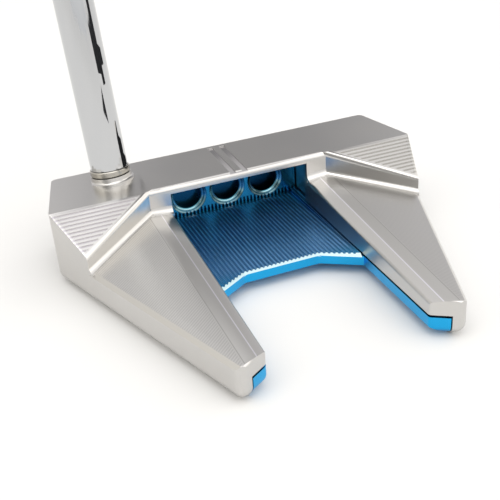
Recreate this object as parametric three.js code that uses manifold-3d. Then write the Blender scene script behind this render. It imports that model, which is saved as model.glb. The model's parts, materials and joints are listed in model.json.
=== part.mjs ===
// Mallet putter: a milled stainless head with two swept-back wings, an aluminium flange and sole,
// removable sole weights, a single-bend chromed shaft and a pistol grip.
//
// Frame, in millimetres: +X runs heel to toe, +Y points at the target (out of the face), +Z is up.
// The origin is on the flat of the sole, on the head's plane of symmetry.

import * as THREE from "three";
import { mergeVertices } from "three/addons/utils/BufferGeometryUtils.js";
import Module from "manifold-3d";

const wasm = await Module();
wasm.setup();

// ---- Driving dimensions ----------------------------------------------------------------------

const crownZ = 20.2; // top of the crown above the sole
const faceY = 20.0; // top line of the striking face
const loftDeg = 3.5; // the face leans back by this much
const wallY = -0.7; // rear wall of the crown, and where its corners start to slope down
const frontHalf = 47.5; // half width of the crown along the face
const sideHalf = 52.0; // half width at the widest point, on the line of the rear wall
const lipHalf = 25.7; // half width of the straight rear edge of the crown
const ear = { x: 46.5, y: -16.1, z: 13.7 }; // rear side corner of the crown
const tipOuter = { x: 27.1, y: -69.6 }; // outer corner of a wing tip
const tipInner = { x: 19.8, y: -64.9 }; // inner corner of a wing tip
const flangeRear = { innerX: 10.2, innerY: -28.0, outerY: -34.1 }; // rear edge of the flange

// The lower edge of the head, from the flat sole up: height and how far it is set in.
const soleCamber = [
  { z: 0, inset: 2.9 },
  { z: 1.7, inset: 0.75 },
  { z: 2.5, inset: 0.2 },
  { z: 3.4, inset: 0 },
];
const edgeRound = 1.5; // radius of the crown's rear edge
const wingOuterBevel = 1.9;
const earSideRound = 0.7;
const wingInnerRound = 1.0;
const footRound = 1.6; // hollow radius where a wing meets the crown's wall

// The grooves get shorter towards the corner, where the last one has no room.
const earGroove = { count: 12, depth: 0.22, fromWall: 2.2, fromSide: 0.9 };
const sightGroove = { inner: 0.9, outer: 2.5, depth: 0.35 };

const plateTop = 5.6; // top of the aluminium plate under the wings
const plateRim = 3.7; // steel left outside the plate
const plateFrontY = -4.0; // front edge of the plate under the wings
const seatGap = 0.3; // clearance of the plate in its seat
const plateFlare = { height: 1.3, width: 0.9 }; // seam of the plate, opened out at the sole
const plateEdge = { height: 2.9, width: 5.0 }; // long chamfer under the plate's inner edge
const pad = { thick: 0.4, gap: 0.1, inset: 0.8 }; // damping pad between plate and wing
const wingSkin = 2.4; // steel left over the hollow inside each wing
const wingHollowInset = 3.2;
const bossR = 3.4; // steel kept around each screw inside the hollow

const pocket = { half: 21.2, roofZ: 18.2, frontY: 16.4, wallY: 11.4 }; // hollow under the crown
const mouthHalf = 19.8; // half width of the pocket's mouth and of the gap between the wings
const floorZ = { front: 4.5, rear: 5.9 }; // flange floor at the wall and at its rear edge
const floorHalf = 19.5;
const flute = { pitch: 1.1, depth: 0.22, half: 18.2, footHeight: 1.0, footDepth: 0.45 };
const flangeChamfer = 0.65;
const port = { spacing: 11.7, z: 10.4 }; // the three round recesses in the flange wall

const screwSites = [
  { name: "sole_screw_front_heel", x: -34.0, y: -10.5, top: 10.0 },
  { name: "sole_screw_front_toe", x: 34.0, y: -10.5, top: 10.0 },
  { name: "sole_screw_rear_heel", x: -28.2, y: -43.0, top: 9.2 },
  { name: "sole_screw_rear_toe", x: 28.2, y: -43.0, top: 9.2 },
];
const screw = { headR: 2.8, shankR: 1.45, headZ: 0.4, coneZ: 1.8, socketR: 1.15, socketDepth: 1.3 };
const screwGap = 0.3;

const weight = { x: 39.5, y: 7.5, radius: 6.0, bottom: 0.25, top: 5.0, wrenchR: 0.8, wrenchX: 3.6 };
const weightRing = { radius: 4.3, wire: 0.5, z: 5.85 };
const weightWell = { radius: 6.35, top: 6.7 };

const shaftBase = new THREE.Vector3(-32.2, 13.0, crownZ); // shaft axis where it meets the crown
const shaftLean = { heelDeg: 1.8, targetDeg: 7.2 }; // lower shaft, away from vertical
const lieDeg = 70; // upper shaft, from the ground
const boss = { radius: 5.5, height: 1.5, flare: 0.6 }; // raised ring on the crown
const post = { radius: 3.9, below: 11.0, above: 24.0, collarR: 5.4, collarZ: 1.6, collarTop: 3.3 };
const shaftStart = 3.45; // lower end of the shaft, along its axis from the crown
const shaftRadius = { tip: 5.05, butt: 7.5, wall: 0.6, sides: 40 };
const shaftSteps = { count: 11, pitch: 38.0, first: 150.0 };
const straightBelowBend = 78.0;
const bendRadius = 70.0;
const clubLength = 864.0; // 34 inches, from the sole along the shaft to the cap

const capThick = 4.0;
const tape = { thick: 0.2, gap: 0.15, length: 262.0 };
// Grip sections: distance from the lower mouth, width, depth behind and in front of the shaft
// axis, and squareness (2 is an ellipse).
const gripSections = [
  { at: 0, width: 18.0, behind: 9.0, front: 9.0, square: 2.0 },
  { at: 3, width: 19.4, behind: 9.7, front: 9.5, square: 2.1 },
  { at: 60, width: 21.0, behind: 10.6, front: 9.6, square: 2.8 },
  { at: 120, width: 23.0, behind: 11.6, front: 9.8, square: 3.4 },
  { at: 175, width: 25.2, behind: 13.6, front: 10.1, square: 3.8 },
  { at: 215, width: 27.0, behind: 16.4, front: 10.4, square: 4.0 },
  { at: 245, width: 27.4, behind: 17.6, front: 10.6, square: 4.0 },
  { at: 266, width: 26.6, behind: 16.6, front: 10.6, square: 4.0 },
];

// ---- Materials -------------------------------------------------------------------------------

const finish = (color, roughness, metalness) =>
  new THREE.MeshStandardMaterial({ color, roughness, metalness });

const steel = finish(0xb5b0a8, 0.35, 1.0);
const blueAlloy = finish(0x1f78b8, 0.3, 1.0);
const chrome = finish(0xdadcdd, 0.06, 1.0);
const darkSteel = finish(0x54565a, 0.35, 1.0);
const rubber = finish(0x1b1c1f, 0.85, 0.0);
const tapeCloth = finish(0xd8d2c0, 0.9, 0.0);
const epoxy = finish(0xc9b27a, 0.5, 0.0);

// ---- Making solids ---------------------------------------------------------------------------

const vec = (x, y, z) => new THREE.Vector3(x, y, z);
const radians = THREE.MathUtils.degToRad;
const up = vec(0, 0, 1);
const back = vec(0, -1, 0);
const far = 100; // beyond every face of the head

function toSolid(geometry) {
  const bare = geometry.clone();
  bare.deleteAttribute("normal");
  bare.deleteAttribute("uv");
  const merged = mergeVertices(bare, 1e-5);
  return new wasm.Manifold(
    new wasm.Mesh({
      numProp: 3,
      vertProperties: new Float32Array(merged.attributes.position.array),
      triVerts: new Uint32Array(merged.index.array),
    }),
  );
}

function toGeometry(solid) {
  const mesh = solid.getMesh();
  const geometry = new THREE.BufferGeometry();
  geometry.setAttribute("position", new THREE.BufferAttribute(mesh.vertProperties, 3));
  geometry.setIndex(new THREE.BufferAttribute(mesh.triVerts, 1));
  geometry.computeVertexNormals();
  return geometry;
}

const toShape = (points) => new THREE.Shape(points.map(([x, y]) => new THREE.Vector2(x, y)));
const union = (solids) => solids.reduce((sum, solid) => sum.add(solid));
const cutAll = (solid, cutters) => cutters.reduce((left, cutter) => left.subtract(cutter), solid);
const bothSides = (solid) => solid.add(solid.mirror([1, 0, 0]));

// Upright prism over a plan outline of [x, y] pairs.
function prism(points, bottom, top) {
  const options = { depth: top - bottom, bevelEnabled: false };
  return toSolid(new THREE.ExtrudeGeometry(toShape(points), options).translate(0, 0, bottom));
}

function block(low, high) {
  const size = high.clone().sub(low);
  const centre = high.clone().add(low).multiplyScalar(0.5);
  const geometry = new THREE.BoxGeometry(size.x, size.y, size.z);
  return toSolid(geometry.translate(centre.x, centre.y, centre.z));
}

// Straight bar from one point to another. Its profile is in [across, upwards] pairs.
function bar(profile, from, to, upwards) {
  const along = to.clone().sub(from).normalize();
  const across = upwards.clone().cross(along).normalize();
  const options = { depth: from.distanceTo(to), bevelEnabled: false };
  const geometry = new THREE.ExtrudeGeometry(toShape(profile), options);
  geometry.applyMatrix4(new THREE.Matrix4().makeBasis(across, along.clone().cross(across), along));
  return toSolid(geometry.translate(from.x, from.y, from.z));
}

// Solid of revolution about +Z from [radius, z] pairs.
function lathe(profile, sides = 24) {
  const points = profile.map(([r, z]) => new THREE.Vector2(r, z));
  return toSolid(new THREE.LatheGeometry(points, sides).rotateX(Math.PI / 2));
}

// Everything on the side of a plane that its normal points to.
function beyond({ point, normal }) {
  const reach = 3 * far;
  const geometry = new THREE.BoxGeometry(reach, reach, reach).translate(0, 0, reach / 2);
  geometry.applyQuaternion(new THREE.Quaternion().setFromUnitVectors(up, normal));
  return toSolid(geometry.translate(point.x, point.y, point.z));
}

// Rounds the convex edge through a point between two faces, with a few tangent planes.
function roundEdge(solid, point, normalA, normalB, radius, cuts = 4) {
  const sum = normalA.clone().add(normalB);
  const centre = point.clone().addScaledVector(sum, -radius / (1 + normalA.dot(normalB)));
  const angle = normalA.angleTo(normalB);
  const planes = Array.from({ length: cuts }, (_, i) => {
    const share = (i + 0.5) / cuts;
    const normal = normalA.clone().multiplyScalar(Math.sin((1 - share) * angle));
    normal.addScaledVector(normalB, Math.sin(share * angle)).normalize();
    return { point: centre.clone().addScaledVector(normal, radius), normal };
  });
  return cutAll(solid, planes.map(beyond));
}

// Closed skin through rings of equal count: capped flat at both ends, or joined end to end.
function skin(rings, capOutline = null) {
  const count = rings[0].length;
  const index = [];
  const bands = capOutline ? rings.length - 1 : rings.length;
  for (let r = 0; r < bands; r += 1) {
    const lower = r * count;
    const upper = ((r + 1) % rings.length) * count;
    for (let i = 0; i < count; i += 1) {
      const j = (i + 1) % count;
      index.push(lower + i, lower + j, upper + j, lower + i, upper + j, upper + i);
    }
  }
  if (capOutline) {
    const last = (rings.length - 1) * count;
    for (const [a, b, c] of THREE.ShapeUtils.triangulateShape(capOutline, [])) {
      index.push(a, c, b, last + a, last + b, last + c);
    }
  }
  const geometry = new THREE.BufferGeometry();
  const positions = rings.flat().flatMap((p) => [p.x, p.y, p.z]);
  geometry.setAttribute("position", new THREE.Float32BufferAttribute(positions, 3));
  geometry.setIndex(index);
  return toSolid(geometry);
}

// ---- Head: outer form ------------------------------------------------------------------------

// Plan corners of the whole head at one height, anticlockwise: [x, y, radius].
function headCorners(z) {
  const frontY = faceY + (crownZ - z) * Math.tan(radians(loftDeg));
  const front = [[sideHalf, wallY, 2.5], [frontHalf, frontY, 1.5]];
  const rear = [
    [tipOuter.x, tipOuter.y, 2.2],
    [tipInner.x, tipInner.y, 1.0],
    [mouthHalf, flangeRear.outerY, 0.4],
    [flangeRear.innerX, flangeRear.innerY, 3.0],
  ];
  const mirrored = (list) => list.map(([x, y, radius]) => [-x, y, radius]);
  return [...front, ...mirrored(front).reverse(), ...mirrored(rear), ...rear.reverse()];
}

// The outline through the corners, moved inwards, with every corner an arc of as many points.
function roundedOutline(corners, inset, arcSteps = 4) {
  const count = corners.length;
  const edges = corners.map(([x, y], i) => {
    const [nextX, nextY] = corners[(i + 1) % count];
    const along = new THREE.Vector2(nextX - x, nextY - y).normalize();
    const inward = new THREE.Vector2(-along.y, along.x);
    return { point: new THREE.Vector2(x, y).addScaledVector(inward, inset), along, inward };
  });
  return corners.flatMap(([, , cornerRadius], i) => {
    const before = edges[(i + count - 1) % count];
    const after = edges[i];
    const turn = before.along.cross(after.along);
    const reach = after.point.clone().sub(before.point).cross(after.along) / turn;
    const side = Math.sign(turn); // 1 on an outer corner, -1 on an inner one
    const radius = Math.max(cornerRadius - side * inset, 0.15);
    const angle = Math.atan2(turn, before.along.dot(after.along));
    const setback = radius * Math.tan(Math.abs(angle) / 2);
    const centre = before.point.clone().addScaledVector(before.along, reach - setback);
    centre.addScaledVector(before.inward, side * radius);
    const first = before.inward.clone().multiplyScalar(-side * radius);
    return Array.from({ length: arcSteps + 1 }, (_, k) => {
      const swept = first.clone().rotateAround(new THREE.Vector2(), (angle * k) / arcSteps);
      return swept.add(centre);
    });
  });
}

// Outer walls of the head, with the lower edge cambered, up to the crown.
function headEnvelope() {
  const levels = [...soleCamber, { z: crownZ, inset: 0 }];
  const outlines = levels.map(({ z, inset }) => roundedOutline(headCorners(z), inset));
  const rings = outlines.map((outline, i) => outline.map((p) => vec(p.x, p.y, levels[i].z)));
  return skin(rings, outlines[0]);
}

// ---- Head: steel body ------------------------------------------------------------------------

const outerAlong = vec(tipOuter.x - sideHalf, tipOuter.y - wallY, 0).normalize();
const outerNormal = vec(-outerAlong.y, outerAlong.x, 0);
const outerWallX = (y) => sideHalf + (outerAlong.x / outerAlong.y) * (y - wallY);
const earSlope = (crownZ - ear.z) / (wallY - ear.y);
const earTopNormal = vec(0, -earSlope, 1).normalize();
const earAlong = vec(lipHalf - ear.x, wallY - ear.y, 0).normalize();
const earWallNormal = vec(-earAlong.y, earAlong.x, 0);
const earWallX = (y) => lipHalf + (earAlong.x / earAlong.y) * (y - wallY);
const endNormal = vec(tipOuter.y - tipInner.y, tipInner.x - tipOuter.x, 0).normalize();

function planeThrough(a, b, c) {
  const normal = b.clone().sub(a).cross(c.clone().sub(a)).normalize();
  return { point: a, normal: normal.multiplyScalar(Math.sign(normal.z)) };
}

function pointOn({ point, normal }, x, y) {
  const rise = normal.x * (x - point.x) + normal.y * (y - point.y);
  return vec(x, y, point.z - rise / normal.z);
}

// Wing top: a broad facet, then two narrow strips that fall to the inner edge.
const facet = planeThrough(vec(46.4, -16.6, 9.7), vec(27.1, -69.6, 9.9), vec(26.6, -5.9, 13.5));
const facetCrease = [pointOn(facet, 26.6, -5.9), pointOn(facet, 25.6, -67.2)];
const outerStrip = planeThrough(...facetCrease, vec(23.3, -3.0, 13.4));
const stripCrease = [pointOn(outerStrip, 23.3, -3.0), pointOn(outerStrip, 22.4, -65.4)];
const innerEdgeRear = vec(tipInner.x, tipInner.y, 9.5);
const innerStrip = planeThrough(...stripCrease, innerEdgeRear);

function crownSlab() {
  const slab = block(vec(-far, wallY, 0), vec(far, far, crownZ));
  return roundEdge(slab, vec(0, wallY, crownZ), up, back, edgeRound);
}

// Shallow grooves across the sloping corner, stopping short of its edges.
function earGrooves() {
  const pitch = (wallY - ear.y) / (earGroove.count + 1.2);
  const half = 0.3 * pitch;
  const { depth } = earGroove;
  const profile = [[-half, 0.2], [-0.35 * half, -depth], [0.35 * half, -depth], [half, 0.2]];
  const grooves = [];
  for (let i = 1; i <= earGroove.count; i += 1) {
    const y = wallY - pitch * (i + 0.1);
    const z = crownZ - earSlope * (wallY - y);
    const inner = vec(earWallX(y) + earGroove.fromWall, y, z);
    const outer = vec(outerWallX(y) - earGroove.fromSide, y, z);
    if (outer.x - inner.x > 0.6) {
      grooves.push(bar(profile, inner, outer, earTopNormal));
    }
  }
  return union(grooves);
}

function crownEar() {
  const overlap = 3;
  const plan = [
    [earWallX(wallY + overlap), wallY + overlap],
    [earWallX(ear.y - overlap), ear.y - overlap],
    [far, ear.y - overlap],
    [far, wallY + overlap],
  ];
  const prismatic = prism(plan, 0, crownZ);
  const sloped = prismatic.subtract(beyond({ point: vec(0, wallY, crownZ), normal: earTopNormal }));
  const corner = vec(ear.x, ear.y, ear.z);
  let rounded = roundEdge(sloped, corner, earTopNormal, earWallNormal, edgeRound);
  rounded = roundEdge(rounded, corner, earTopNormal, outerNormal, earSideRound, 2);
  return rounded.subtract(earGrooves());
}

function wing() {
  const low = vec(mouthHalf, -far, 0);
  const high = vec(far, wallY + 1, crownZ - 3);
  const tipCorner = pointOn(facet, tipOuter.x, tipOuter.y);
  const sides = [
    { point: tipCorner, normal: outerNormal },
    { point: tipCorner, normal: endNormal },
  ];
  let solid = cutAll(block(low, high), [facet, outerStrip, innerStrip, ...sides].map(beyond));
  solid = roundEdge(solid, tipCorner, facet.normal, outerNormal, wingOuterBevel, 1);
  solid = roundEdge(solid, tipCorner, facet.normal, endNormal, wingInnerRound);
  return roundEdge(solid, innerEdgeRear, innerStrip.normal, vec(-1, 0, 0), wingInnerRound);
}

// Hollow quarter round from the wall (0, radius) to the wing (radius, 0), and down below the wing.
const footSink = 0.5;
const footCurve = Array.from({ length: 6 }, (_, k) => {
  const angle = (k / 5) * (Math.PI / 2);
  return [footRound * (1 - Math.cos(angle)), footRound * (1 - Math.sin(angle))];
}).concat([[footRound, -footSink]]);

// Hollow fillet along the foot of a wall. The wall is on the right of the way from a to b.
function footFillet(a, b, topNormal) {
  return bar([[-footSink, -footSink], [-footSink, footRound], ...footCurve], a, b, topNormal);
}

function wingFoot() {
  const overrun = 3;
  const outer = pointOn(facet, earWallX(ear.y - overrun), ear.y - overrun);
  const corner = pointOn(outerStrip, lipHalf, wallY);
  const inner = pointOn(outerStrip, mouthHalf, wallY);
  const turn = new THREE.Quaternion().setFromUnitVectors(up, outerStrip.normal);
  const bend = new THREE.Matrix4().compose(corner, turn, vec(1, 1, 1));
  return union([
    footFillet(outer, corner, facet.normal),
    footFillet(corner, inner, outerStrip.normal),
    lathe([...footCurve, [0, -footSink]].reverse(), 48).transform(bend.toArray()),
  ]);
}

// The lower shaft's direction. A solid built on +Z moves to the axis, its z = 0 at the crown.
const shaftUp = vec(
  -Math.sin(radians(shaftLean.heelDeg)),
  Math.sin(radians(shaftLean.targetDeg)),
  Math.cos(radians(shaftLean.targetDeg)),
).normalize();

function onShaftAxis(solid) {
  const turn = new THREE.Quaternion().setFromUnitVectors(up, shaftUp);
  return solid.transform(new THREE.Matrix4().compose(shaftBase, turn, vec(1, 1, 1)).toArray());
}

function crownBoss() {
  const { radius, height, flare } = boss;
  const profile = [[0, -4], [radius + flare, -4], [radius + flare, 0]];
  for (let k = 1; k <= 4; k += 1) {
    const angle = (k / 4) * (Math.PI / 2);
    profile.push([radius + flare * (1 - Math.sin(angle)), flare * (1 - Math.cos(angle))]);
  }
  profile.push([radius, height], [0, height]);
  return onShaftAxis(lathe(profile, 40));
}

function platePlan(gap) {
  const outerX = (y) => outerWallX(y) - (plateRim - gap) / outerNormal.x;
  const frontY = plateFrontY + gap;
  const half = [
    [outerX(-far), -far],
    [outerX(frontY), frontY],
    [pocket.half + gap, frontY],
    [pocket.half + gap, pocket.frontY + gap],
  ];
  return [...half, ...half.map(([x, y]) => [-x, y]).reverse()];
}

const seatTop = plateTop + pad.thick + 2 * pad.gap;
const outlineAt = (points, z) => points.map(([x, y]) => vec(x, y, z));

// The plate's seat, with its seam opened out where it meets the sole.
function plateSeat() {
  const plan = platePlan(seatGap);
  const { height, width } = plateFlare;
  const flared = [outlineAt(platePlan(seatGap + width), -0.01), outlineAt(plan, height)];
  return prism(plan, -1, seatTop).add(skin(flared, plan.map(([x, y]) => new THREE.Vector2(x, y))));
}

// Hollow inside a wing, open to the plate below, around the bosses that the screws go into.
function wingHollow() {
  const side = block(vec(mouthHalf + wingHollowInset, -far, 0), vec(far, plateFrontY - 3, crownZ));
  const ceiling = [facet, outerStrip, innerStrip].map(({ point, normal }) =>
    beyond({ point: point.clone().addScaledVector(normal, -wingSkin), normal }),
  );
  const end = vec(tipInner.x, tipInner.y, 0).addScaledVector(endNormal, -wingHollowInset);
  const bosses = screwSites.map(({ x, y }) =>
    lathe([[0, -1], [bossR, -1], [bossR, crownZ], [0, crownZ]]).translate([x, y, 0]),
  );
  const room = prism(platePlan(-wingHollowInset), seatTop - 0.5, crownZ).intersect(side);
  return cutAll(room, [...ceiling, beyond({ point: end, normal: endNormal }), ...bosses]);
}

function headBody(envelope) {
  const wings = bothSides(wing().add(wingFoot()));
  const form = union([crownSlab(), bothSides(crownEar()), wings]).intersect(envelope);

  const mouth = block(vec(-mouthHalf, -far, -1), vec(mouthHalf, wallY + 2, pocket.roofZ));
  const pocketHalf = pocket.half + seatGap;
  const pocketFront = pocket.frontY + seatGap;
  const hollow = block(vec(-pocketHalf, 0.9, -1), vec(pocketHalf, pocketFront, pocket.roofZ));
  const hollows = bothSides(wingHollow());
  const sightLow = vec(sightGroove.inner, wallY - 3, crownZ - sightGroove.depth);
  const sights = bothSides(block(sightLow, vec(sightGroove.outer, faceY - 1.2, crownZ + 1)));

  const threadR = screw.shankR + screwGap;
  const screwHoles = screwSites.map(({ x, y, top }) =>
    lathe([[0, 0], [threadR, 0], [threadR, top + screwGap], [0, top + screwGap]]).translate([x, y, 0]),
  );
  const { radius, top } = weightWell;
  const well = lathe([[0, -1], [radius, -1], [radius, top], [0, top]], 40);
  const wells = bothSides(well.translate([weight.x, weight.y, 0]));
  const boreR = post.radius + 0.3;
  const boreEnd = -post.below - 0.5;
  const bore = onShaftAxis(lathe([[0, boreEnd], [boreR, boreEnd], [boreR, 9], [0, 9]]));

  const solid = form.add(crownBoss());
  const cutters = [mouth, hollow, plateSeat(), hollows, sights, ...screwHoles, wells, bore];
  return cutAll(solid, cutters);
}

// ---- Head: aluminium flange and sole ---------------------------------------------------------

const floorSlope = (floorZ.rear - floorZ.front) / (pocket.wallY - flangeRear.innerY);
const floorNormal = vec(0, floorSlope, 1).normalize();
const floorPoint = (x, y) => vec(x, y, floorZ.front + floorSlope * (pocket.wallY - y));

// Flutes along the floor, and the notches that the cutter leaves in the foot of the wall.
function flutes() {
  const count = Math.floor((2 * flute.half) / flute.pitch);
  const half = 0.42 * flute.pitch;
  const { depth, footHeight, footDepth } = flute;
  const profile = [[-half, 0.1], [-0.4 * half, -depth], [0.4 * half, -depth], [half, 0.1]];
  const cutters = [];
  for (let i = 0; i <= count; i += 1) {
    const x = (i - count / 2) * flute.pitch;
    cutters.push(bar(profile, floorPoint(x, pocket.wallY + 0.1), floorPoint(x, -far), floorNormal));
    const notch = [[-half, -0.2], [half, -0.2], [0.3 * half, footDepth], [-0.3 * half, footDepth]];
    cutters.push(
      prism(notch, -0.1, footHeight).translate([x, pocket.wallY, floorZ.front]),
    );
  }
  return cutters;
}

// Round recesses in the wall above the floor: a bevelled rim around a flat-bottomed well.
function wallPorts() {
  const profile = [[0, -1], [6.4, -1], [5.4, 0], [4.5, 0.8], [4.1, 0.95], [4.0, 3.4], [0, 3.4]];
  const recess = lathe(profile, 36).rotate([-90, 0, 0]).translate([0, pocket.wallY, port.z]);
  return [-port.spacing, 0, port.spacing].map((x) => recess.translate([x, 0, 0]));
}

function screwWell({ x, y }) {
  const wide = screw.headR + screwGap;
  const narrow = screw.shankR + screwGap;
  const rise = screw.coneZ + screwGap;
  const profile = [[0, -1], [wide, -1], [wide, screw.headZ + 0.2], [narrow, rise], [narrow, 9], [0, 9]];
  return lathe(profile).translate([x, y, 0]);
}

// The floor behind the wall, chamfered along the top of its three-sided rear edge.
function flangeFloor() {
  const { innerX, innerY, outerY } = flangeRear;
  const slope = (outerY - innerY) / (mouthHalf - innerX);
  const slantNormal = vec(slope, -1, 0).normalize();
  const overlap = 4;
  const plan = [
    [innerX + overlap / slope, innerY + overlap],
    [floorHalf, innerY + slope * (floorHalf - innerX)],
    [floorHalf, innerY + overlap],
  ];
  const edge = floorPoint(innerX, innerY).addScaledVector(up, -flangeChamfer);
  const chamfer = (side) => beyond({ point: edge, normal: up.clone().add(side).normalize() });
  const above = beyond({ point: floorPoint(0, pocket.wallY), normal: floorNormal });
  const middle = block(vec(-floorHalf, innerY - 1, 0), vec(floorHalf, pocket.wallY + 1, 9));
  const corner = prism(plan, 0, 9);
  return union([
    cutAll(middle, [above, chamfer(back)]),
    bothSides(cutAll(corner, [above, chamfer(slantNormal)])),
  ]);
}

// Cuts the long chamfer under the plate's inner edge, all around the gap between the wings.
function innerEdgeChamfer() {
  const { innerX, innerY, outerY } = flangeRear;
  const { height, width } = plateEdge;
  const gapPlan = (outset) => {
    const half = [
      [mouthHalf + outset, -far],
      [mouthHalf + outset, outerY + 0.6 * outset],
      [innerX + 0.3 * outset, innerY + outset],
    ];
    return [...half, ...half.map(([x, y]) => [-x, y]).reverse()];
  };
  const rings = [outlineAt(gapPlan(width), -0.01), outlineAt(gapPlan(0), height)];
  return skin(rings, gapPlan(0).map(([x, y]) => new THREE.Vector2(x, y)));
}

function soleFlange(envelope) {
  const underFloor = block(vec(-floorHalf, -far, 3.0), vec(floorHalf, pocket.wallY, 12));
  const plate = prism(platePlan(0), 0, plateTop).subtract(underFloor);
  const wallTop = pocket.roofZ - seatGap;
  const wall = block(vec(-pocket.half, pocket.wallY, 0), vec(pocket.half, pocket.frontY, wallTop));
  const solid = union([plate, wall, flangeFloor()]).intersect(envelope).subtract(innerEdgeChamfer());
  return cutAll(solid, [...flutes(), ...wallPorts(), ...screwSites.map(screwWell)]);
}

function dampingPad() {
  const { inset, gap, thick } = pad;
  const bottom = plateTop + gap;
  const sheet = prism(platePlan(-inset), bottom, bottom + thick);
  const side = block(vec(pocket.half, -far, 0), vec(far, plateFrontY - inset, crownZ));
  const end = vec(tipInner.x, tipInner.y, 0).addScaledVector(endNormal, -inset);
  const holes = screwSites.map(({ x, y }) =>
    lathe([[0, 0], [2.1, 0], [2.1, 9], [0, 9]]).translate([x, y, 0]),
  );
  return cutAll(sheet.intersect(side), [beyond({ point: end, normal: endNormal }), ...holes]);
}

// ---- Head: fasteners and weights -------------------------------------------------------------

function soleScrew({ top }) {
  const { headR, shankR, headZ, coneZ, socketR, socketDepth } = screw;
  const body = lathe([[0, headZ], [headR, headZ], [shankR, coneZ], [shankR, top], [0, top]]);
  const low = headZ - 1;
  const high = headZ + socketDepth;
  return body.subtract(lathe([[0, low], [socketR, low], [socketR, high], [0, high]], 6));
}

function soleWeight() {
  const { radius, bottom, top, wrenchR, wrenchX } = weight;
  const rim = 0.4;
  const profile = [[0, bottom], [radius - rim, bottom], [radius, bottom + rim], [radius, top], [0, top]];
  const hole = lathe([[0, -1], [wrenchR, -1], [wrenchR, 2.2], [0, 2.2]], 12);
  return cutAll(lathe(profile, 40), [hole.translate([wrenchX, 0, 0]), hole.translate([-wrenchX, 0, 0])]);
}

function sealRing() {
  return toSolid(new THREE.TorusGeometry(weightRing.radius, weightRing.wire, 8, 32));
}

// ---- Shaft -----------------------------------------------------------------------------------

const lieUp = vec(-Math.cos(radians(lieDeg)), 0, Math.sin(radians(lieDeg)));
const bendAngle = shaftUp.angleTo(lieUp);
const bendLength = bendRadius * bendAngle;
const bendInward = lieUp.clone().addScaledVector(shaftUp, -lieUp.dot(shaftUp)).normalize();
const bendStart = shaftBase.clone().addScaledVector(shaftUp, shaftStart + straightBelowBend);
const shaftLength = clubLength - capThick - crownZ - shaftStart;

// Point, direction and cross axes of the shaft's centre line, a distance up from its lower end.
function shaftFrame(distance) {
  const swept = THREE.MathUtils.clamp(distance - straightBelowBend, 0, bendLength) / bendRadius;
  const direction = shaftUp.clone().multiplyScalar(Math.cos(swept));
  direction.addScaledVector(bendInward, Math.sin(swept));
  const point = bendStart.clone().addScaledVector(shaftUp, bendRadius * Math.sin(swept));
  point.addScaledVector(bendInward, bendRadius * (1 - Math.cos(swept)));
  const straight = distance - straightBelowBend - (swept > 0 ? swept * bendRadius : 0);
  point.addScaledVector(direction, straight);
  const across = vec(0, 1, 0).addScaledVector(direction, -direction.y).normalize();
  return { point, across, behind: direction.clone().cross(across) };
}

// Ring of points about the shaft's centre line; the outline gives [across, behind] at an angle.
function ringAt(distance, outline, sides = 24) {
  const { point, across, behind } = shaftFrame(distance);
  return Array.from({ length: sides }, (_, i) => {
    const [a, b] = outline((2 * Math.PI * i) / sides);
    return point.clone().addScaledVector(across, a).addScaledVector(behind, b);
  });
}

const circle = (radius) => (angle) => [radius * Math.cos(angle), radius * Math.sin(angle)];

// Hollow tube from a list of stations with their distance, outer outline and inner radius.
function hollow(stations, sides) {
  const outer = stations.map(({ at, outline }) => ringAt(at, outline, sides));
  const inner = stations.map(({ at, bore }) => ringAt(at, circle(bore), sides));
  return skin([...outer, ...inner.reverse()]);
}

function shaftTube() {
  const { tip, butt, wall, sides } = shaftRadius;
  const stations = [{ at: 0, radius: tip }, { at: straightBelowBend, radius: tip }];
  const bends = 7;
  for (let i = 1; i <= bends; i += 1) {
    stations.push({ at: straightBelowBend + (bendLength * i) / bends, radius: tip });
  }
  const rise = (butt - tip) / shaftSteps.count;
  for (let i = 0; i < shaftSteps.count; i += 1) {
    const at = shaftSteps.first + i * shaftSteps.pitch;
    stations.push({ at, radius: tip + rise * i }, { at: at + 2.5, radius: tip + rise * (i + 1) });
  }
  stations.push({ at: shaftLength, radius: butt });
  const tube = stations.map(({ at, radius }) => ({
    at,
    outline: circle(radius),
    bore: radius - wall,
  }));
  return hollow(tube, sides);
}

// Collar that the shaft stands on, with a stud down into the head and a post up into the shaft.
function hoselPost() {
  const { radius, below, above, collarR, collarZ, collarTop } = post;
  const edge = 0.25;
  const profile = [
    [0, -below], [radius, -below], [radius, collarZ], [collarR - edge, collarZ],
    [collarR, collarZ + edge], [collarR, collarTop - edge], [collarR - edge, collarTop],
    [radius, collarTop], [radius, above], [0, above],
  ];
  return onShaftAxis(lathe(profile, 32));
}

function hoselAdhesive() {
  const inner = post.radius + 0.08;
  const outer = shaftRadius.tip - shaftRadius.wall - 0.12;
  const bottom = shaftStart + 0.2;
  const top = post.above;
  const profile = [[inner, bottom], [outer, bottom], [outer, top], [inner, top], [inner, bottom]];
  return onShaftAxis(lathe(profile, 24));
}

// ---- Grip ------------------------------------------------------------------------------------

const gripStart = shaftLength - 266;

// Rounded outline, flatter in front (towards the toe) and fuller behind.
function gripOutline({ width, behind, front, square }, scale = 1) {
  return (angle) => {
    const c = Math.cos(angle);
    const s = Math.sin(angle);
    const power = 2 / (s < 0 ? square : 2 + 0.3 * (square - 2));
    const a = Math.sign(c) * Math.abs(c) ** power * (width / 2);
    const b = Math.sign(s) * Math.abs(s) ** power * (s < 0 ? front : behind);
    return [a * scale, b * scale];
  };
}

function grip() {
  const bore = shaftRadius.butt + tape.thick + 2 * tape.gap;
  const stations = gripSections.map((section) => ({
    at: gripStart + section.at,
    outline: gripOutline(section),
    bore,
  }));
  return hollow(stations, 40);
}

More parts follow.
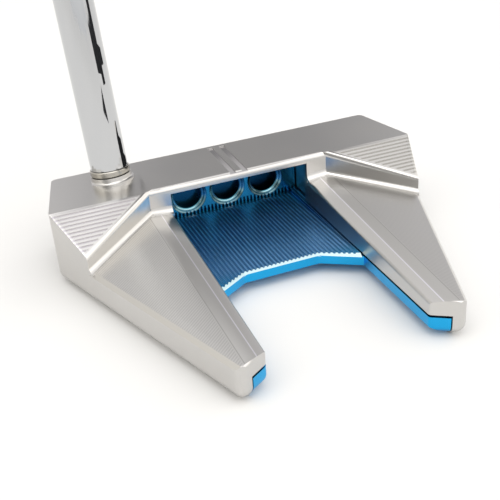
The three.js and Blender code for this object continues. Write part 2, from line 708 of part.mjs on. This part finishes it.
function gripTape() {
  const inner = shaftRadius.butt + tape.gap;
  const outline = circle(inner + tape.thick);
  const top = shaftLength - 1;
  return hollow([{ at: top - tape.length, outline, bore: inner }, { at: top, outline, bore: inner }]);
}

// End cap: a rounded plate the shape of the grip's end, a plug in the shaft, and a vent hole.
function gripCap() {
  const section = gripSections[gripSections.length - 1];
  const vent = 1.2;
  const plug = 5.4;
  const stations = [
    { at: -8, outline: circle(plug), bore: vent },
    { at: 0.3, outline: circle(plug), bore: vent },
    { at: 0.3, outline: gripOutline(section), bore: vent },
    { at: capThick - 1.6, outline: gripOutline(section), bore: vent },
    { at: capThick - 0.6, outline: gripOutline(section, 0.97), bore: vent },
    { at: capThick, outline: gripOutline(section, 0.9), bore: vent },
  ];
  return hollow(stations.map((station) => ({ ...station, at: shaftLength + station.at })), 40);
}

// ---- Assembly --------------------------------------------------------------------------------

const putter = new THREE.Group();

function place(name, solid, material, position = [0, 0, 0]) {
  const mesh = new THREE.Mesh(toGeometry(solid), material);
  mesh.name = name;
  mesh.position.set(...position);
  putter.add(mesh);
}

const envelope = headEnvelope();
place("head_body", headBody(envelope), steel);
place("sole_flange", soleFlange(envelope), blueAlloy);
place("damping_pad_toe", dampingPad(), rubber);
place("damping_pad_heel", dampingPad().mirror([1, 0, 0]), rubber);
for (const site of screwSites) {
  place(site.name, soleScrew(site), darkSteel, [site.x, site.y, 0]);
}
for (const [side, x] of [["heel", -weight.x], ["toe", weight.x]]) {
  place(`sole_weight_${side}`, soleWeight(), darkSteel, [x, weight.y, 0]);
  place(`weight_seal_${side}`, sealRing(), rubber, [x, weight.y, weightRing.z]);
}
place("hosel_post", hoselPost(), steel);
place("hosel_adhesive", hoselAdhesive(), epoxy);
place("shaft", shaftTube(), chrome);
place("grip_tape", gripTape(), tapeCloth);
place("grip", grip(), rubber);
place("grip_cap", gripCap(), rubber);

export default putter;
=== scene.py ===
"""Mallet putter: materials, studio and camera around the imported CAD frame.

Metres, in the row's frame: +X runs heel to toe, +Y points at the target, +Z is up from the sole.
"""

import json
import math

import bpy
from mathutils import Matrix, Vector

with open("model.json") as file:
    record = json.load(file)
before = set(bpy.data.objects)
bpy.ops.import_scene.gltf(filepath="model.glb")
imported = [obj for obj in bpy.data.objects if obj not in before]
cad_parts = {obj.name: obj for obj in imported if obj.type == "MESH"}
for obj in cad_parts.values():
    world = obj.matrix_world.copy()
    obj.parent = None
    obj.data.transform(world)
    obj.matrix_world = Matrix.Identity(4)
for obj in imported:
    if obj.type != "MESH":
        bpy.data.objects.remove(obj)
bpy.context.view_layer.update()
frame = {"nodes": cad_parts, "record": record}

MM = 0.001

# Places on the head, in mm.
CROWN_WALL_Y = -0.7  # rear wall of the crown
CROWN_Z = 20.2
PORT_WALL_Y = 11.4  # wall of the flange that holds the three round ports
PORT_SPACING = 11.7
PORT_Z = 10.4
FLUTE_PITCH = 1.1  # flutes of the flange floor
NOTCH_TOP_Z = 6.4  # top of the notches at the foot of the port wall
WING_TOP_Z = 15.0  # above this nothing belongs to a wing
EAR_PITCH = 15.4 / 13.2  # between the grooves on each ear
EAR_EDGE = 14.73  # slanting rear edge of the crown, measured by ACROSS
ACROSS = (0.595, 0.804)  # shares of |x| and y that count distance across that edge
CUTTER_PITCH = 0.66  # milling lines on the wings
OUTER_CREASE = (26.7, 0.0163)  # |x| of a wing's outer crease at y = 0, and its change with y
INNER_CREASE = (23.34, 0.0144)
SHAFT_FOOT = Vector((-32.2, 13.0, CROWN_Z))

# Shading of the CAD nodes, angles in degrees.
EDGE_BREAK_MM = {"head_body": 0.1, "sole_flange": 0.1, "hosel_post": 0.08}
EDGE_BREAK_ANGLE = 38
SAME_PLANE_ANGLE = 0.3
REGION_ANGLE = 3
FLAT_CREASE_ANGLE = 4
HARD_CREASE_ANGLE = 34
LARGE_FLAT = 60 * MM * MM

# Studio. Each sky is a list of colours by the sine of the elevation.
BACKDROP = (1.0, 1.0, 1.0)
FAR_SKY = [
    (0.0, (0.84, 0.83, 0.85)),
    (0.3, (0.84, 0.83, 0.85)),
    (0.45, (0.9, 0.89, 0.91)),
    (0.66, (0.8, 0.79, 0.78)),
    (0.86, (1.08, 1.07, 1.08)),
    (1.0, (1.1, 1.09, 1.08)),
]
NEAR_SKY = [
    (0.0, (0.9, 0.9, 0.9)),
    (0.4, (1.7, 1.67, 1.63)),
    (0.65, (2.1, 2.06, 2.0)),
    (0.85, (2.1, 2.06, 2.0)),
    (1.0, (1.1, 1.09, 1.08)),
]
SIDE_SKY = [
    (0.0, (1.1, 1.08, 1.05)),
    (0.3, (1.4, 1.36, 1.28)),
    (0.55, (2.1, 2.03, 1.88)),
    (0.8, (2.1, 2.03, 1.88)),
    (1.0, (1.1, 1.09, 1.08)),
]
# Darker patches of sky: direction, cosine of the angle at the edge and at the core, and darkness.
SKY_PATCHES = [
    ((-0.6, -0.68, 0.42), 0.9, 0.97, 0.9),
    ((0.3, 0.86, 0.42), 0.965, 0.995, 0.62),
    ((0.45, 0.78, 0.44), 0.93, 0.985, 0.2),
    ((-0.79, 0.42, 0.46), 0.85, 0.95, 0.38),
]
# Dark cards that stand round the shaft, each a kite: distance from the shaft and heights of its
# lower tip, widest place and upper tip in mm, then its bearing and width in degrees.
CARDS = [
    (22, 26, 38, 52, -52, 12),
    (8, 22, 23, 36, -12, 44),
    (22, 44, 50, 78, -20, 50),
]

# ---- Shader helpers --------------------------------------------------------------------------


class Nodes:
    """A shader node tree whose nodes are added one call at a time."""

    def __init__(self, tree, surface):
        self.nodes = tree.nodes
        self.links = tree.links
        self.surface = self.nodes[surface]

    def set(self, node, key, value):
        socket = node.inputs[key]
        if isinstance(value, bpy.types.NodeSocket):
            self.links.new(value, socket)
        else:
            socket.default_value = value

    def node(self, kind, inputs=None, **settings):
        made = self.nodes.new(kind)
        for key, value in settings.items():
            setattr(made, key, value)
        for key, value in (inputs or {}).items():
            self.set(made, key, value)
        return made

    def math(self, operation, a, b=0.0, c=0.0):
        made = self.node("ShaderNodeMath", {0: a, 1: b, 2: c}, operation=operation)
        return made.outputs[0]

    def add(self, a, b):
        return self.math("ADD", a, b)

    def times(self, a, b):
        return self.math("MULTIPLY", a, b)

    def place(self):
        """The point's x, y and z in the row's frame, in millimetres."""
        coords = self.node("ShaderNodeTexCoord")
        scaled = self.node(
            "ShaderNodeVectorMath",
            {0: coords.outputs["Object"], "Scale": 1 / MM},
            operation="SCALE",
        )
        split = self.node("ShaderNodeSeparateXYZ", {0: scaled.outputs[0]})
        return split.outputs[0], split.outputs[1], split.outputs[2]

    def facing(self):
        """The true normal's x, y and z."""
        geometry = self.node("ShaderNodeNewGeometry")
        split = self.node("ShaderNodeSeparateXYZ", {0: geometry.outputs["True Normal"]})
        return split.outputs[0], split.outputs[1], split.outputs[2]

    def ramp(self, value, low, high, to_low=0.0, to_high=1.0):
        """value taken smoothly from low..high to to_low..to_high."""
        made = self.node(
            "ShaderNodeMapRange",
            {"Value": value, 1: low, 2: high, 3: to_low, 4: to_high},
            interpolation_type="SMOOTHSTEP",
        )
        return made.outputs[0]

    def waves(self, distance, pitch):
        """A sine from 0 to 1 that repeats every pitch of distance."""
        angle = self.times(distance, 2 * math.pi / pitch)
        return self.math("MULTIPLY_ADD", self.math("SINE", angle), 0.5, 0.5)

    def noise(self, stretch, scale, detail=2.0):
        """Noise in the row's frame, in 1/mm, drawn out by the three stretch factors."""
        parts = [self.times(axis, scale / factor) for axis, factor in zip(self.place(), stretch)]
        vector = self.node("ShaderNodeCombineXYZ", dict(enumerate(parts)))
        inputs = {"Vector": vector.outputs[0], "Scale": 1.0, "Detail": detail, "Roughness": 0.5}
        return self.node("ShaderNodeTexNoise", inputs).outputs[0]

    def mix(self, share, color_a, color_b):
        made = self.node("ShaderNodeMix", data_type="RGBA")
        self.set(made, 0, share)
        self.set(made, 6, color_a if isinstance(color_a, bpy.types.NodeSocket) else (*color_a, 1))
        self.set(made, 7, color_b if isinstance(color_b, bpy.types.NodeSocket) else (*color_b, 1))
        return made.outputs[2]

    def colors(self, value, stops):
        """A colour ramp over value from (position, colour) pairs."""
        made = self.node("ShaderNodeValToRGB", {0: value})
        elements = made.color_ramp.elements
        while len(elements) < len(stops):
            elements.new(0.5)
        for element, (position, color) in zip(elements, stops):
            element.position = position
            element.color = (*color, 1)
        return made.outputs[0]

    def bump(self, height, depth_mm, strength=1.0):
        """Height from 0 to 1, as deep as depth_mm, chained after any earlier bump."""
        made = self.node(
            "ShaderNodeBump",
            {"Height": height, "Distance": depth_mm * MM, "Strength": strength},
        )
        earlier = self.surface.inputs["Normal"].links
        if earlier:
            self.links.new(earlier[0].from_socket, made.inputs["Normal"])
        self.links.new(made.outputs[0], self.surface.inputs["Normal"])


class Shader(Nodes):
    """A Principled material."""

    def __init__(self, name, color, roughness, metallic=0.0):
        self.material = bpy.data.materials.new(name)
        self.material.use_nodes = True
        self.material.diffuse_color = (*color, 1)
        super().__init__(self.material.node_tree, "Principled BSDF")
        self.set(self.surface, "Base Color", (*color, 1))
        self.set(self.surface, "Roughness", roughness)
        self.set(self.surface, "Metallic", metallic)


# ---- Materials -------------------------------------------------------------------------------


def head_steel():
    """Fine-milled stainless: cutter lines on the wings, painted shade in the ear grooves and on
    the sight groove floors, a painted dark line and a painted highlight along the wing creases,
    fine brushing.
    """
    s = Shader("head_steel", (0.6, 0.59, 0.575), 0.3, 1.0)
    x, y, z = s.place()
    _, _, nz = s.facing()
    side = s.math("ABSOLUTE", x)
    top = s.ramp(nz, 0.9, 0.96)
    behind = s.ramp(y, CROWN_WALL_Y, CROWN_WALL_Y - 2.5)
    wing_top = s.times(s.times(top, s.ramp(z, WING_TOP_Z, WING_TOP_Z - 1.0)), behind)
    # Cutter lines run along the rear edges of the crown, on the broad facet of each wing.
    across = s.add(s.times(side, ACROSS[0]), s.times(y, ACROSS[1]))
    lines = s.waves(across, CUTTER_PITCH)
    from_outer, from_inner = [
        s.add(side, s.math("MULTIPLY_ADD", y, -slope, -start))
        for start, slope in (OUTER_CREASE, INNER_CREASE)
    ]
    facet = s.times(wing_top, s.ramp(from_outer, 0.1, 0.6))
    # Painted shade: a dark hairline along each wing's outer crease. Painted highlight: a bright
    # line along its inner crease.
    crease_shade = s.ramp(s.math("ABSOLUTE", from_outer), 0.16, 0.05)
    crease_highlight = s.ramp(s.math("ABSOLUTE", from_inner), 0.22, 0.08)
    # Painted shade in the ear grooves: darker stripes across the ears, in step with their
    # grooves.
    inside_ear = s.ramp(s.add(across, -EAR_EDGE), 1.3, 1.5)
    groove = s.waves(s.add(y, 0.35 * EAR_PITCH - CROWN_WALL_Y), EAR_PITCH)
    striped = s.times(s.times(inside_ear, s.ramp(y, -0.9, -1.2)), s.ramp(nz, 0.3, 0.6))
    brushed = s.noise((12, 1, 1), 1.3, 1.0)
    patches = s.noise((1, 1, 1), 0.05, 2.0)
    color = s.mix(patches, (0.605, 0.598, 0.59), (0.6, 0.585, 0.56))
    color = s.mix(s.times(s.times(facet, lines), 0.42), color, (0.34, 0.335, 0.33))
    # Painted crease shade and painted crease highlight on the wing tops.
    color = s.mix(s.times(s.times(wing_top, crease_shade), 0.5), color, (0.25, 0.24, 0.23))
    color = s.mix(s.times(s.times(wing_top, crease_highlight), 0.8), color, (0.92, 0.9, 0.97))
    # The painted groove shade is lilac on the heel ear and warm on the toe ear.
    groove_shade = s.mix(s.ramp(x, -1.0, 1.0), (0.38, 0.35, 0.4), (0.3, 0.29, 0.26))
    color = s.mix(s.times(s.times(striped, groove), 0.72), color, groove_shade)
    # Painted shade: the floors of the two sight grooves are darker.
    below_crown = s.times(s.ramp(z, 20.05, 19.95), s.ramp(z, 19.6, 19.7))
    groove_floor_shade = s.times(below_crown, s.ramp(side, 2.7, 2.6))
    color = s.mix(s.times(groove_floor_shade, 0.55), color, (0.3, 0.29, 0.31))
    s.set(s.surface, "Base Color", color)
    s.set(s.surface, "Roughness", s.add(0.26, s.times(patches, 0.06)))
    s.bump(s.times(facet, lines), 0.014, 0.8)
    s.bump(brushed, 0.0016, 0.5)
    return s.material


def flange_alloy():
    """Blue anodising, with painted shade and painted highlights: darker teal on the port wall,
    dark flutes with bright crests on the floor, a pale rear chamfer, dark port recesses, bright
    blue on the outer edges.
    """
    s = Shader("flange_alloy", (0.025, 0.41, 0.84), 0.25, 1.0)
    x, y, z = s.place()
    _, ny, nz = s.facing()
    patches = s.noise((1, 1, 1), 0.12, 2.0)
    fine = s.noise((1, 24, 1), 8.0, 2.0)
    color = s.mix(patches, (0.022, 0.41, 0.8), (0.028, 0.38, 0.74))
    # Painted light and shade on the fluted floor: bright flute crests, dark flute bottoms.
    floor_top = s.times(s.ramp(nz, 0.4, 0.6), s.ramp(y, -35.0, -25.0))
    lit_crest = s.ramp(s.waves(s.add(x, FLUTE_PITCH / 2), FLUTE_PITCH), 0.55, 1.0)
    flute_light_and_shade = s.mix(lit_crest, (0.03, 0.15, 0.37), (0.3, 0.6, 0.95))
    color = s.mix(floor_top, color, flute_light_and_shade)
    # Painted highlight: the rear chamfer is pale.
    rear_chamfer_highlight = s.times(s.ramp(ny, -0.35, -0.5), s.ramp(nz, 0.4, 0.5))
    color = s.mix(rear_chamfer_highlight, color, (0.38, 0.5, 0.54))
    # Painted shade: the port wall is a darker teal, darkest in the notches at its foot.
    wall = s.ramp(y, PORT_WALL_Y - 0.2, PORT_WALL_Y - 0.05)
    combed = s.ramp(s.waves(s.add(x, -FLUTE_PITCH / 4), FLUTE_PITCH), 0.35, 0.6)
    notch_shade = s.times(combed, s.ramp(z, NOTCH_TOP_Z, NOTCH_TOP_Z - 0.2))
    color = s.mix(wall, color, s.mix(notch_shade, (0.06, 0.36, 0.44), (0.0, 0.02, 0.04)))
    for column in (-PORT_SPACING, 0.0, PORT_SPACING):
        dx, dz = s.add(x, -column), s.add(z, -PORT_Z)
        radius = s.math("SQRT", s.add(s.times(dx, dx), s.times(dz, dz)))
        # Turned rings on each port rim, drawn as dark and pale lines; the pale lines are also a
        # painted highlight.
        rim = s.times(s.ramp(radius, 5.5, 5.4), wall)
        rim_rings_and_highlight = s.mix(s.waves(radius, 0.62), (0.04, 0.2, 0.28), (0.42, 0.66, 0.7))
        color = s.mix(rim, color, rim_rings_and_highlight)
        # Painted shade in each port recess: a dark disc, darkest towards the bottom.
        disc = s.times(s.ramp(radius, 4.15, 4.05), wall)
        shade = s.ramp(s.add(z, s.times(x, -0.1)), 5.5, 11.0)
        color = s.mix(disc, color, s.mix(shade, (0.0, 0.01, 0.02), (0.02, 0.1, 0.145)))
    s.set(s.surface, "Base Color", color)
    roughness = s.add(0.18, s.times(fine, 0.08))
    s.set(s.surface, "Roughness", s.add(s.times(floor_top, 0.16), roughness))
    s.bump(fine, 0.003, 0.5)
    return s.material


def turned_steel(name, color):
    """Steel with fine level rings from the lathe."""
    s = Shader(name, color, 0.22, 1.0)
    _, _, z = s.place()
    rings = s.waves(z, 0.28)
    grain = s.noise((1, 1, 0.1), 2.0, 2.0)
    s.set(s.surface, "Base Color", s.mix(grain, color, tuple(0.88 * c for c in color)))
    s.set(s.surface, "Roughness", s.add(0.18, s.times(grain, 0.1)))
    s.bump(rings, 0.006, 0.5)
    return s.material


def dark_steel():
    """Dark passivated steel, a little uneven."""
    s = Shader("screw_steel", (0.2, 0.2, 0.215), 0.32, 1.0)
    grain = s.noise((1, 1, 1), 3.0, 3.0)
    s.set(s.surface, "Base Color", s.mix(grain, (0.17, 0.17, 0.19), (0.24, 0.235, 0.23)))
    s.set(s.surface, "Roughness", s.add(0.26, s.times(grain, 0.14)))
    s.bump(grain, 0.01, 0.4)
    return s.material


def shaft_chrome():
    """Mirror chrome with faint smears along the tube."""
    s = Shader("shaft_chrome", (0.58, 0.587, 0.597), 0.04, 1.0)
    smear = s.noise((1, 1, 12), 0.5, 2.0)
    s.set(s.surface, "Roughness", s.ramp(smear, 0.3, 0.8, 0.025, 0.075))
    s.set(s.surface, "Base Color", s.mix(smear, (0.58, 0.587, 0.597), (0.55, 0.56, 0.575)))
    return s.material


def rubber(name, color, scale=2.2):
    """Moulded rubber with a fine grain."""
    s = Shader(name, color, 0.62)
    grain = s.noise((1, 1, 1), scale, 4.0)
    s.set(s.surface, "Base Color", s.mix(grain, color, tuple(1.7 * c for c in color)))
    s.set(s.surface, "Roughness", s.add(0.5, s.times(grain, 0.25)))
    s.bump(grain, 0.08, 0.4)
    return s.material


def cloth_tape():
    """Woven tape."""
    s = Shader("tape_cloth", (0.72, 0.68, 0.57), 0.9)
    x, y, z = s.place()
    weave = s.times(s.waves(z, 0.7), s.waves(s.add(x, y), 0.7))
    s.set(s.surface, "Base Color", s.mix(weave, (0.62, 0.58, 0.48), (0.78, 0.74, 0.64)))
    s.bump(weave, 0.1, 0.6)
    return s.material


def cured_epoxy():
    """Cloudy amber epoxy."""
    s = Shader("adhesive", (0.62, 0.5, 0.25), 0.35)
    grain = s.noise((1, 1, 1), 1.2, 3.0)
    s.set(s.surface, "Base Color", s.mix(grain, (0.66, 0.55, 0.3), (0.55, 0.43, 0.2)))
    s.set(s.surface, "Roughness", s.add(0.28, s.times(grain, 0.2)))
    return s.material


def dress():
    """Gives every CAD node its material."""
    shared = {
        "head_steel": head_steel(),
        "flange_alloy": flange_alloy(),
        "pad_rubber": rubber("pad_rubber", (0.012, 0.012, 0.014)),
        "screw_steel": dark_steel(),
        "weight_steel": turned_steel("weight_steel", (0.5, 0.5, 0.51)),
        "seal_rubber": rubber("seal_rubber", (0.012, 0.012, 0.012)),
        "post_steel": turned_steel("post_steel", (0.47, 0.45, 0.41)),
        "adhesive": cured_epoxy(),
        "shaft_chrome": shaft_chrome(),
        "tape_cloth": cloth_tape(),
        "grip_rubber": rubber("grip_rubber", (0.018, 0.018, 0.02)),
        "cap_rubber": rubber("cap_rubber", (0.024, 0.024, 0.026), 4.0),
    }
    for row in frame["record"]["subparts"]:
        node = frame["nodes"][row["node"]]
        node.data.materials.clear()
        node.data.materials.append(shared[row["material_slot"]])


# ---- Shading of the CAD nodes ----------------------------------------------------------------


class Tree:
    """A geometry node group that takes a mesh and gives a mesh."""

    def __init__(self, name):
        self.group = bpy.data.node_groups.new(name, "GeometryNodeTree")
        self.group.is_modifier = True
        for way in ("INPUT", "OUTPUT"):
            self.group.interface.new_socket("Mesh", in_out=way, socket_type="NodeSocketGeometry")
        self.mesh = self.group.nodes.new("NodeGroupInput").outputs[0]

    def node(self, kind, inputs=None, **settings):
        made = self.group.nodes.new(kind)
        for key, value in settings.items():
            setattr(made, key, value)
        for key, value in (inputs or {}).items():
            if isinstance(value, bpy.types.NodeSocket):
                self.group.links.new(value, made.inputs[key])
            else:
                made.inputs[key].default_value = value
        return made

    def step(self, kind, inputs=None, **settings):
        """A node that the mesh passes through."""
        inputs = {0: self.mesh, **(inputs or {})}
        self.mesh = self.node(kind, inputs, **settings).outputs[0]

    def edges_over(self, degrees):
        angle = self.node("GeometryNodeInputMeshEdgeAngle").outputs["Unsigned Angle"]
        inputs = {"A": angle, "B": math.radians(degrees)}
        compare = self.node(
            "FunctionNodeCompare", inputs, data_type="FLOAT", operation="GREATER_THAN"
        )
        return compare.outputs[0]

    def flat_region_area(self):
        """For each face, the area of the flat region that it is in, in square metres."""
        bends = self.edges_over(REGION_ANGLE)
        region = self.node("GeometryNodeEdgesToFaceGroups", {0: bends}).outputs[0]
        area = self.node("GeometryNodeInputMeshFaceArea").outputs[0]
        total = self.node("GeometryNodeAccumulateField", domain="FACE")
        self.group.links.new(area, total.inputs[0])
        self.group.links.new(region, total.inputs["Group Index"])
        return total.outputs["Total"]

    def finish(self):
        end = self.group.nodes.new("NodeGroupOutput")
        self.group.links.new(self.mesh, end.inputs[0])
        return self.group


def smooth_group():
    """Shades smooth, except across sharp edges and between two large flats."""
    tree = Tree("smooth_by_angle")
    tree.step("GeometryNodeRemoveAttribute", {"Name": "custom_normal"})
    tree.step("GeometryNodeSetShadeSmooth", domain="FACE")
    in_large_flat = tree.node(
        "FunctionNodeCompare",
        {"A": tree.flat_region_area(), "B": LARGE_FLAT},
        data_type="FLOAT",
        operation="GREATER_THAN",
    )
    # On an edge this is the share of its two faces that lie in a large flat.
    share = tree.node("GeometryNodeFieldOnDomain", domain="FACE", data_type="FLOAT")
    tree.group.links.new(in_large_flat.outputs[0], share.inputs[0])
    both = tree.node(
        "FunctionNodeCompare",
        {"A": share.outputs[0], "B": 0.9},
        data_type="FLOAT",
        operation="GREATER_THAN",
    )
    crease = tree.node("FunctionNodeBooleanMath", operation="AND")
    tree.group.links.new(both.outputs[0], crease.inputs[0])
    tree.group.links.new(tree.edges_over(FLAT_CREASE_ANGLE), crease.inputs[1])
    either = tree.node("FunctionNodeBooleanMath", operation="OR")
    tree.group.links.new(crease.outputs[0], either.inputs[0])
    tree.group.links.new(tree.edges_over(HARD_CREASE_ANGLE), either.inputs[1])
    sharp = {"Selection": either.outputs[0], "Shade Smooth": False}
    tree.step("GeometryNodeSetShadeSmooth", sharp, domain="EDGE")
    return tree.finish()


def weld(node):
    """Joins a node's loose triangles, and flat groups of them into single faces."""
    join = node.modifiers.new("weld", "WELD")
    join.merge_threshold = 1e-6
    flat = node.modifiers.new("flat_faces", "DECIMATE")
    flat.decimate_type = "DISSOLVE"
    flat.angle_limit = math.radians(SAME_PLANE_ANGLE)


def run_group(node, group):
    modifier = node.modifiers.new(group.name, "NODES")
    modifier.node_group = group


def break_edges(node, width_mm):
    """Rounds the sharp edges a little, as a deburring brush does."""
    bevel = node.modifiers.new("edge_break", "BEVEL")
    bevel.width = width_mm * MM
    bevel.segments = 2
    bevel.limit_method = "ANGLE"
    bevel.angle_limit = math.radians(EDGE_BREAK_ANGLE)


def shade(nodes):
    """Gives every CAD node smooth round faces, and some of them rounded edges."""
    smooth = smooth_group()
    for name, node in nodes.items():
        weld(node)
        if name in EDGE_BREAK_MM:
            break_edges(node, EDGE_BREAK_MM[name])
        run_group(node, smooth)
        weighted = node.modifiers.new("weighted", "WEIGHTED_NORMAL")
        weighted.mode = "FACE_AREA_WITH_ANGLE"
        weighted.keep_sharp = True


# ---- Studio ----------------------------------------------------------------------------------


def mesh_object(name, verts, faces, material):
    """A new object made of the given faces."""
    mesh = bpy.data.meshes.new(name)
    mesh.from_pydata(verts, [], faces)
    mesh.materials.append(material)
    obj = bpy.data.objects.new(name, mesh)
    bpy.context.scene.collection.objects.link(obj)
    return obj


def floor():
    """Plain pale floor."""
    half = 6.0
    corners = [(-half, -half, 0), (half, -half, 0), (half, half, 0), (-half, half, 0)]
    s = Shader("floor", (0.73, 0.73, 0.73), 0.9)
    s.set(s.surface, "Specular IOR Level", 0.0)
    grain = s.noise((1, 1, 1), 0.02, 2.0)
    s.set(s.surface, "Base Color", s.mix(grain, (0.735, 0.735, 0.73), (0.725, 0.725, 0.725)))
    obj = mesh_object("floor", corners, [(0, 1, 2, 3)], s.material)


def cards():
    """Dark cards close to the shaft, which only reflections see."""
    verts, faces = [], []
    for radius, lower, widest, upper, bearing, width in CARDS:
        start = len(verts)
        half = width / 2
        corners = [(lower, 0), (widest, -half), (widest, 0), (widest, half), (upper, 0)]
        for height, offset in corners:
            turn = math.radians(bearing + offset)
            out = Vector((math.cos(turn), math.sin(turn), 0)) * radius
            verts.append((Vector((SHAFT_FOOT.x, SHAFT_FOOT.y, height)) + out) * MM)
        for corner in [(0, 2, 1), (0, 3, 2), (1, 2, 4), (2, 3, 4)]:
            faces.append([start + index for index in corner])
    s = Shader("cards", (0.02, 0.02, 0.02), 0.9)
    grain = s.noise((1, 1, 1), 0.2, 2.0)
    s.set(s.surface, "Base Color", s.mix(grain, (0.015, 0.017, 0.02), (0.03, 0.03, 0.035)))
    obj = mesh_object("cards", verts, faces, s.material)
    obj.visible_camera = False
    obj.visible_diffuse = False
    obj.visible_shadow = False


def softbox():
    """A broad soft light overhead, aimed at the origin."""
    data = bpy.data.lights.new("overhead", "AREA")
    data.shape = "RECTANGLE"
    data.size = 0.7
    data.size_y = 0.6
    data.energy = 1.6
    obj = bpy.data.objects.new("overhead", data)
    obj.location = (-0.1, -0.1, 0.9)
    obj.rotation_euler = (-obj.location).to_track_quat("-Z", "Y").to_euler()
    obj.visible_camera = False
    bpy.context.scene.collection.objects.link(obj)


def sky():
    """Soft surroundings: dimmer on the far side, brighter on the near side and at both ends.

    Only reflections and light see them. The backdrop itself is plain and pale.
    """
    world = bpy.data.worlds.new("studio")
    bpy.context.scene.world = world
    world.use_nodes = True
    s = Nodes(world.node_tree, "Background")
    coords = s.node("ShaderNodeTexCoord")
    split = s.node("ShaderNodeSeparateXYZ", {0: coords.outputs["Generated"]})
    x, y, z = split.outputs[0], split.outputs[1], split.outputs[2]
    around = s.mix(s.ramp(y, 0.3, -0.3), s.colors(z, FAR_SKY), s.colors(z, NEAR_SKY))
    beside = s.ramp(s.math("ABSOLUTE", s.add(x, -0.1)), 0.5, 0.85)
    around = s.mix(beside, around, s.colors(z, SIDE_SKY))
    for direction, edge, core, darkness in SKY_PATCHES:
        inputs = {0: coords.outputs["Generated"], 1: Vector(direction).normalized()}
        facing = s.node("ShaderNodeVectorMath", inputs, operation="DOT_PRODUCT").outputs["Value"]
        around = s.mix(s.ramp(facing, edge, core, 0.0, darkness), around, (0.0, 0.0, 0.0))
    plain = s.mix(s.node("ShaderNodeLightPath").outputs["Is Camera Ray"], around, BACKDROP)
    s.set(s.surface, "Color", plain)


def camera():
    """A camera that looks down at the head from behind it, a little tilted."""
    azimuth = math.radians(-19.56)
    elevation = math.radians(29.7)
    roll = math.radians(-4.27)
    target = Vector((1.4, -0.3, -4.8)) * MM
    distance = 246.1 * MM
    flat = math.cos(elevation)
    back = Vector((math.sin(azimuth) * flat, -math.cos(azimuth) * flat, math.sin(elevation)))
    level = Vector((math.cos(azimuth), math.sin(azimuth), 0))
    upright = back.cross(level)
    right = level * math.cos(roll) + upright * math.sin(roll)
    up = upright * math.cos(roll) - level * math.sin(roll)
    data = bpy.data.cameras.new("camera")
    data.sensor_width = 36
    data.lens = 62.06
    data.clip_start = 0.005
    data.clip_end = 20
    obj = bpy.data.objects.new("camera", data)
    turn = Matrix((right, up, back)).transposed().to_4x4()
    obj.matrix_world = Matrix.Translation(target + back * distance) @ turn
    bpy.context.scene.collection.objects.link(obj)
    bpy.context.scene.camera = obj


# ---- Build -----------------------------------------------------------------------------------

bpy.context.scene.view_settings.view_transform = "Standard"
dress()
shade(frame["nodes"])
floor()
sky()
cards()
softbox()
camera()
